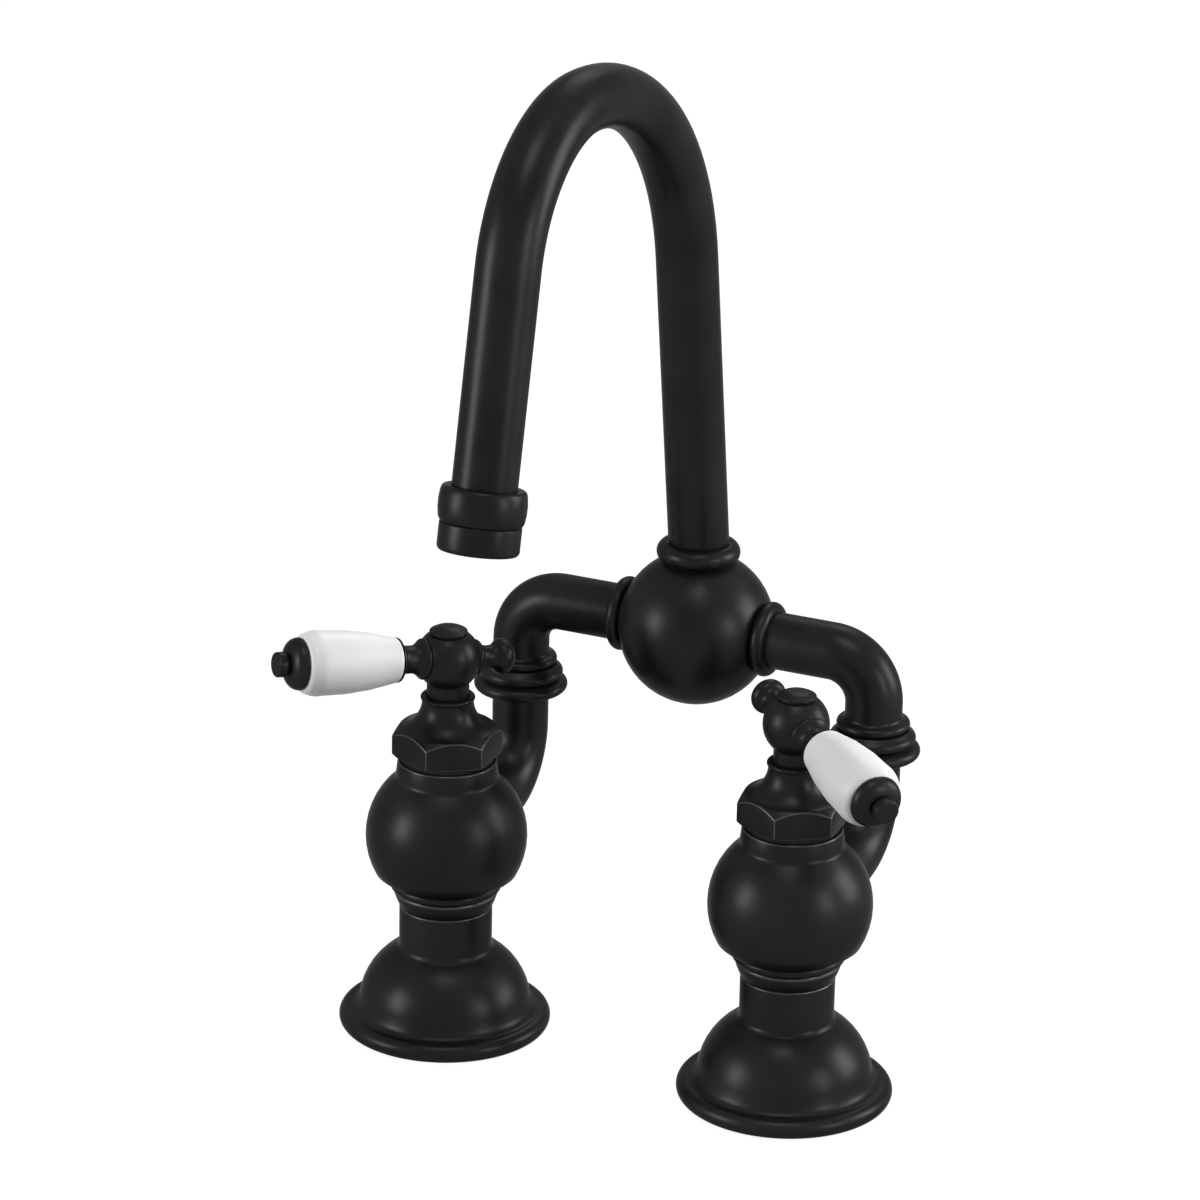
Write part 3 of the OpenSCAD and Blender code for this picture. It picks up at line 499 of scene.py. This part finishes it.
leverCollar = {
    "profile": [
        (0, 5.5), (5.0, 5.5), (5.15, 6.87), (5.15, 8.43, 0.45), (4.6, 9.15), (3.8, 11.35, -0.25),
        (3.9, 13.2, -0.03), (6.0, 15.05, -0.45), (6.1, 15.4), (0, 15.4),
    ],
    "around": 72,
}
grip = {
    "profile": [
        (0, 15.42), (5.3, 15.42), (6.2, 16.4, 0.25), (8.8, 38.2, 0.75), (8.3, 41.6, 0.25),
        (6.8, 43.38, 0.35), (0, 43.38),
    ],
}
endCap = {
    "profile": [
        (0, 43.42), (6.8, 43.42), (7.0, 43.7), (7.05, 44.15, 0.06), (5.71, 46.46, 0.316), (2.6, 47.4, 0.254),
        (2.6, 48.0), (3.05, 48.1), (3.4, 48.5, 0.12), (3.4, 50.0), (2.8, 50.6, 0.176), (0, 50.6),
    ],
    "around": 80,
}
tailKnob = {
    "profile": [
        (0, 5.5), (4.0, 5.5), (4.45, 7.17), (4.31, 8.8, 0.52), (3.4, 9.45), (3.1, 11.2, -0.05),
        (3.2, 12.5, -0.02), (3.97, 13.81, -0.1), (3.6, 18.05, 1.109), (2.3, 18.8, 0.1), (0, 19.1, 0.08),
    ],
    "around": 72,
}


def onFlat(edge, out, flat):
    return all(abs(vert.co.dot(out) - flat) < tolerance["weld"] for vert in edge.verts)


def makeBonnet(side, shape, place):
    bm = bmesh.new()
    lathe(bm, shape["profile"], shape["around"])
    angles = [math.radians(shape["turn"] + 60 * flat) for flat in range(6)]
    outs = [Vector((math.cos(angle), math.sin(angle), 0)) for angle in angles]
    for out in outs:
        cutOff(bm, out * shape["flat"], out)
    bmesh.ops.recalc_face_normals(bm, faces=bm.faces)
    picked = []
    for edge in bm.edges:
        crisp = edge.calc_face_angle(0) > math.radians(shape["crisp"])
        if crisp and any(onFlat(edge, out, shape["flat"]) for out in outs):
            picked.append(edge)
    made = bmesh.ops.bevel(
        bm, geom=picked, offset=shape["edge"], offset_type="OFFSET", segments=2,
        profile=0.5, affect="EDGES", material=-1, clamp_overlap=False,
    )
    # the bevels along the flats get the painted highlight
    paintHighlight(made["faces"])
    finishPiece(bm, side + "Bonnet", "bridge_body", "black_metal", side + "_bonnet_nut", place, sharp=30)


for side, stance in pillars.items():
    pillar = Matrix.Translation((stance["side"] * spacing / 2, 0, 0))
    handle = side + "_handle"
    turnedPiece(side + "Flange", "bridge_body", "black_metal", side + "_base_flange", flange, pillar)
    turnedPiece(side + "Valve", "bridge_body", "black_metal", side + "_valve_body", valve, pillar)
    makeBonnet(side, bonnet, pillar)
    turnedPiece(side + "Hub", handle, "black_metal", side + "_handle_hub", hub, pillar)
    turnedPiece(side + "Cap", handle, "black_metal", side + "_handle_cap", cap, pillar)

    heading = 180 + stance["turn"] if stance["side"] < 0 else -stance["turn"]
    lever = (
        pillar @ Matrix.Translation((0, 0, leverHeight))
        @ Matrix.Rotation(math.radians(heading), 4, "Z")
        @ Matrix.Rotation(math.radians(90 + stance["droop"]), 4, "Y")
    )
    tail = lever @ Matrix.Rotation(math.pi, 4, "X")
    turnedPiece(side + "LeverCollar", handle, "black_metal", side + "_lever_collar", leverCollar, lever)
    turnedPiece(side + "Grip", handle, "porcelain", side + "_lever_grip", grip, lever)
    turnedPiece(side + "EndCap", handle, "black_metal", side + "_grip_end_cap", endCap, lever)
    turnedPiece(side + "TailKnob", handle, "black_metal", side + "_tail_knob", tailKnob, tail)
    print(side, "pillar and handle made")


# the bridge behind the pillars

bridge = {
    "back": 49.6,  # how far the ball and the unions stand behind the pillars
    "outside": 2.0,  # how far each union stands outside its pillar
    "tube": 7.8,
    "lowerHeight": 54.5,
    "lowerStart": 12,  # inside the bulb, from the pillar's axis
    "lowerBend": 17,
    "lowerTop": 82,  # inside the union
    "upperFoot": 90,  # inside the shoulder
    "upperBend": 12.6,
    "armEnd": 17,  # inside the ball, from its middle
    "ballHeight": 108.7,
}
union = {
    "profile": [
        (0, 81.0), (11.3, 81.0), (11.74, 81.06), (12.15, 84.172, 1.049), (11.75, 84.35), (11.1, 84.6),
        (10.718, 84.859), (10.85, 87.872, 0.915), (10.4, 88.4), (9.9, 88.9), (0, 88.9),
    ],
}
shoulder = {
    "profile": [
        (0, 88.92), (9.1, 88.92), (9.35, 89.174), (9.35, 91.426, 0.65), (8.5, 91.7), (7.8, 92.5, -0.12),
        (0, 92.5),
    ],
}
armCollar = {  # drawn from the ball's middle outwards
    "profile": [
        (7.5, 17.0), (8.6, 17.0), (8.6, 19.3), (8.42, 23.53, 1.78), (7.5, 23.6), (7.5, 17.0),
    ],
}
ball = {
    "profile": [(0, -21.4), (0, 21.4, 21.4)],
    "around": 128,
}
ballCollar = {
    "profile": [
        (0, 126.5), (10.0, 126.5), (10.0, 127.62), (10.16, 128.14), (9.05, 133.36, 1.79), (8.5, 133.3),
        (8.8, 131.8), (0, 131.8),
    ],
}


def makeLowerElbow(side, sign, sizes):
    splay = math.atan2(sizes["outside"], sizes["back"])
    reach = math.hypot(sizes["outside"], sizes["back"])
    heading = Vector((sign * math.sin(splay), math.cos(splay), 0))
    start = Vector((sign * spacing / 2, 0, sizes["lowerHeight"])) + heading * sizes["lowerStart"]
    bm = bmesh.new()
    sweepTube(bm, sizes["tube"], start, heading, [
        ("run", reach - sizes["lowerBend"] - sizes["lowerStart"]),
        ("bend", sizes["lowerBend"], 90, (0, 0, 1)),
        ("run", sizes["lowerTop"] - sizes["lowerHeight"] - sizes["lowerBend"]),
    ])
    finishPiece(bm, side + "LowerElbow", "bridge_body", "black_metal", side + "_lower_elbow")


def makeUpperElbow(side, sign, sizes, ringShape):
    x = sign * (spacing / 2 + sizes["outside"])
    bm = bmesh.new()
    sweepTube(bm, sizes["tube"], (x, sizes["back"], sizes["upperFoot"]), (0, 0, 1), [
        ("run", sizes["ballHeight"] - sizes["upperBend"] - sizes["upperFoot"]),
        ("bend", sizes["upperBend"], 90, (-sign, 0, 0)),
        ("run", abs(x) - sizes["upperBend"] - sizes["armEnd"]),
    ])
    ring = bmesh.new()
    lathe(ring, ringShape["profile"], fineness["around"])
    bmesh.ops.translate(ring, verts=ring.verts, vec=(x, sizes["back"], 0))
    addBmesh(bm, ring)
    finishPiece(bm, side + "UpperElbow", "bridge_body", "black_metal", side + "_upper_elbow")


ballAxis = Matrix.Translation((0, bridge["back"], 0))
ballPlace = Matrix.Translation((0, bridge["back"], bridge["ballHeight"]))
for side, stance in pillars.items():
    sign = stance["side"]
    makeLowerElbow(side, sign, bridge)
    makeUpperElbow(side, sign, bridge, shoulder)
    unionPlace = Matrix.Translation((sign * (spacing / 2 + bridge["outside"]), bridge["back"], 0))
    turnedPiece(side + "Union", "bridge_body", "black_metal", side + "_union_nut", union, unionPlace)
    armPlace = ballPlace @ Matrix.Rotation(math.radians(90 * sign), 4, "Y")
    turnedPiece(side + "ArmCollar", "bridge_body", "black_metal", side + "_arm_collar", armCollar, armPlace)
turnedPiece("mixingBall", "bridge_body", "black_metal", "mixing_ball", ball, ballPlace)
turnedPiece("ballCollar", "bridge_body", "black_metal", "spout_collar", ballCollar, ballAxis)
print("bridge made")


# spout and outlet

spout = {
    "radius": 8.3,
    "foot": 133.42,
    "spare": 4,  # how far below its foot the tube starts, before it is cut level
    "sunk": 0.8,  # how far the tube reaches down into the ring
    "lean": 8.7,  # degrees forwards
    "riser": 84.4,
    "rearBend": (69, 80.8),  # radius and degrees
    "frontBend": (41.6, 78.1),
    "leg": 54,
    "tail": 8,  # the part of the tube inside the outlet collar
}
outletCollar = {  # this and the housing are drawn along the tube, towards the outlet
    "profile": [
        (8.35, 0.0), (9.7, 0.0), (10.76, 0.815, 0.227), (10.93, 1.374), (10.87, 7.935, 0.301),
        (10.3, 9.0, 0.05), (8.35, 9.0), (8.35, 0.0),
    ],
}
housing = {
    "profile": [
        (9.5, 9.15), (10.1, 9.15), (10.4, 9.4), (10.4, 15.6), (9.8, 16.4), (8.25, 16.4),
        (8.25, 15.2), (9.5, 15.2), (9.5, 9.15),
    ],
    "soft": [(0.35, [(10.4, 15.6), (9.8, 16.4)]), (0.15, [(10.4, 9.4)]), (0.2, [(8.25, 16.4)])],
}


def makeSpoutTube(sizes):
    lean = math.radians(sizes["lean"])
    upward = Vector((0, -math.sin(lean), math.cos(lean)))
    foot = Vector((0, bridge["back"], sizes["foot"]))
    bm = bmesh.new()
    tip, outward = sweepTube(bm, sizes["radius"], foot - upward * sizes["spare"], upward, [
        ("run", sizes["riser"] + sizes["spare"]),
        ("bend", *sizes["rearBend"], (0, -1, 0)),
        ("bend", *sizes["frontBend"], (0, -1, -1)),
        ("run", sizes["leg"] + sizes["tail"]),
    ])
    cutOff(bm, foot - Vector((0, 0, sizes["sunk"])), (0, 0, -1))
    finishPiece(bm, "spoutTube", "spout", "black_metal", "spout_tube")
    return tip, outward


tip, outward = makeSpoutTube(spout)
outlet = facing(tip - outward * spout["tail"], outward)
turnedPiece("outletCollar", "spout", "black_metal", "outlet_collar", outletCollar, outlet)
turnedPiece("aeratorHousing", "spout", "black_metal", "aerator_housing", housing, outlet)
print("spout made, outlet at", [round(v, 1) for v in tip])


# finishes of the pieces that keep their own mesh

slotOfNode = {part["node"]: part["material_slot"] for part in frame["record"]["subparts"]}
for name, node in frame["nodes"].items():
    node.data.materials.clear()
    node.data.materials.append(finishes[slotOfNode[name]])
print("finishes set on", len(frame["nodes"]), "nodes")


# floor, surroundings and lamps

studio = {
    "floorReach": 12,  # metres from the middle to each side
    "floorColour": (0.2, 0.2, 0.2),
    "floorGlow": 0.92,  # how white the floor looks of itself to the eye and in reflections
    "surround": 0.06,  # how strongly the surroundings light the object
    "lampsAim": (0, 0, 110),  # mm
    "softboxes": [  # place in mm, width and height in mm, watts
        ((-763, -762, 332), (340, 480), 7.4),
        ((1030, -240, 378), (220, 420), 3.5),
        ((900, 520, 400), (420, 560), 10.5),
        ((-180, 925, 965), (480, 480), 4.5),
        ((150, -330, 1300), (420, 420), 4.0),
    ],
}


def seenRays(nodes, links):  # 1 for what the camera sees, also in gloss and through glass, 0 for lighting
    path = nodes.new("ShaderNodeLightPath")
    eyeOrGloss = nodes.new("ShaderNodeMath")
    eyeOrGloss.operation = "MAXIMUM"
    anySeen = nodes.new("ShaderNodeMath")
    anySeen.operation = "MAXIMUM"
    links.new(path.outputs["Is Camera Ray"], eyeOrGloss.inputs[0])
    links.new(path.outputs["Is Glossy Ray"], eyeOrGloss.inputs[1])
    links.new(eyeOrGloss.outputs[0], anySeen.inputs[0])
    links.new(path.outputs["Is Transmission Ray"], anySeen.inputs[1])
    return anySeen.outputs[0]


def makeFloorMaterial(sizes):
    material = bpy.data.materials.new("paleFloor")
    material.use_nodes = True
    nodes, links = material.node_tree.nodes, material.node_tree.links
    nodes.clear()
    matt = nodes.new("ShaderNodeBsdfDiffuse")
    matt.inputs["Color"].default_value = (*sizes["floorColour"], 1)
    strength = nodes.new("ShaderNodeMath")
    strength.operation = "MULTIPLY"
    strength.inputs[1].default_value = sizes["floorGlow"]
    glow = nodes.new("ShaderNodeEmission")
    both = nodes.new("ShaderNodeAddShader")
    out = nodes.new("ShaderNodeOutputMaterial")
    links.new(seenRays(nodes, links), strength.inputs[0])
    links.new(strength.outputs[0], glow.inputs["Strength"])
    links.new(matt.outputs["BSDF"], both.inputs[0])
    links.new(glow.outputs["Emission"], both.inputs[1])
    links.new(both.outputs["Shader"], out.inputs["Surface"])
    return material


def makeFloor(sizes):
    bm = bmesh.new()
    bmesh.ops.create_grid(bm, x_segments=2, y_segments=2, size=sizes["floorReach"])
    mesh = bpy.data.meshes.new("paleFloor")
    bm.to_mesh(mesh)
    bm.free()
    mesh.materials.append(makeFloorMaterial(sizes))
    floor = bpy.data.objects.new("paleFloor", mesh)
    bpy.context.scene.collection.objects.link(floor)


def makeSurround(level):
    world = bpy.data.worlds.new("studio")
    bpy.context.scene.world = world
    world.use_nodes = True
    nodes, links = world.node_tree.nodes, world.node_tree.links
    nodes.clear()
    strength = nodes.new("ShaderNodeMapRange")
    strength.inputs["To Min"].default_value = level
    strength.inputs["To Max"].default_value = 1
    sky = nodes.new("ShaderNodeBackground")
    sky.inputs["Color"].default_value = (1, 1, 1, 1)
    out = nodes.new("ShaderNodeOutputWorld")
    links.new(seenRays(nodes, links), strength.inputs["Value"])
    links.new(strength.outputs["Result"], sky.inputs["Strength"])
    links.new(sky.outputs["Background"], out.inputs["Surface"])


def addSoftbox(name, aim, place, size, watts):
    data = bpy.data.lights.new(name, "AREA")
    data.shape = "RECTANGLE"
    data.size = size[0] * mm
    data.size_y = size[1] * mm
    data.energy = watts
    lamp = bpy.data.objects.new(name, data)
    bpy.context.scene.collection.objects.link(lamp)
    away = (Vector(place) - Vector(aim)).normalized()
    lamp.matrix_world = facing(Vector(place) * mm, away)


makeFloor(studio)
makeSurround(studio["surround"])
for number, softbox in enumerate(studio["softboxes"]):
    addSoftbox("softbox%d" % number, studio["lampsAim"], *softbox)
bpy.context.scene.view_settings.view_transform = "Standard"
print("studio lit")
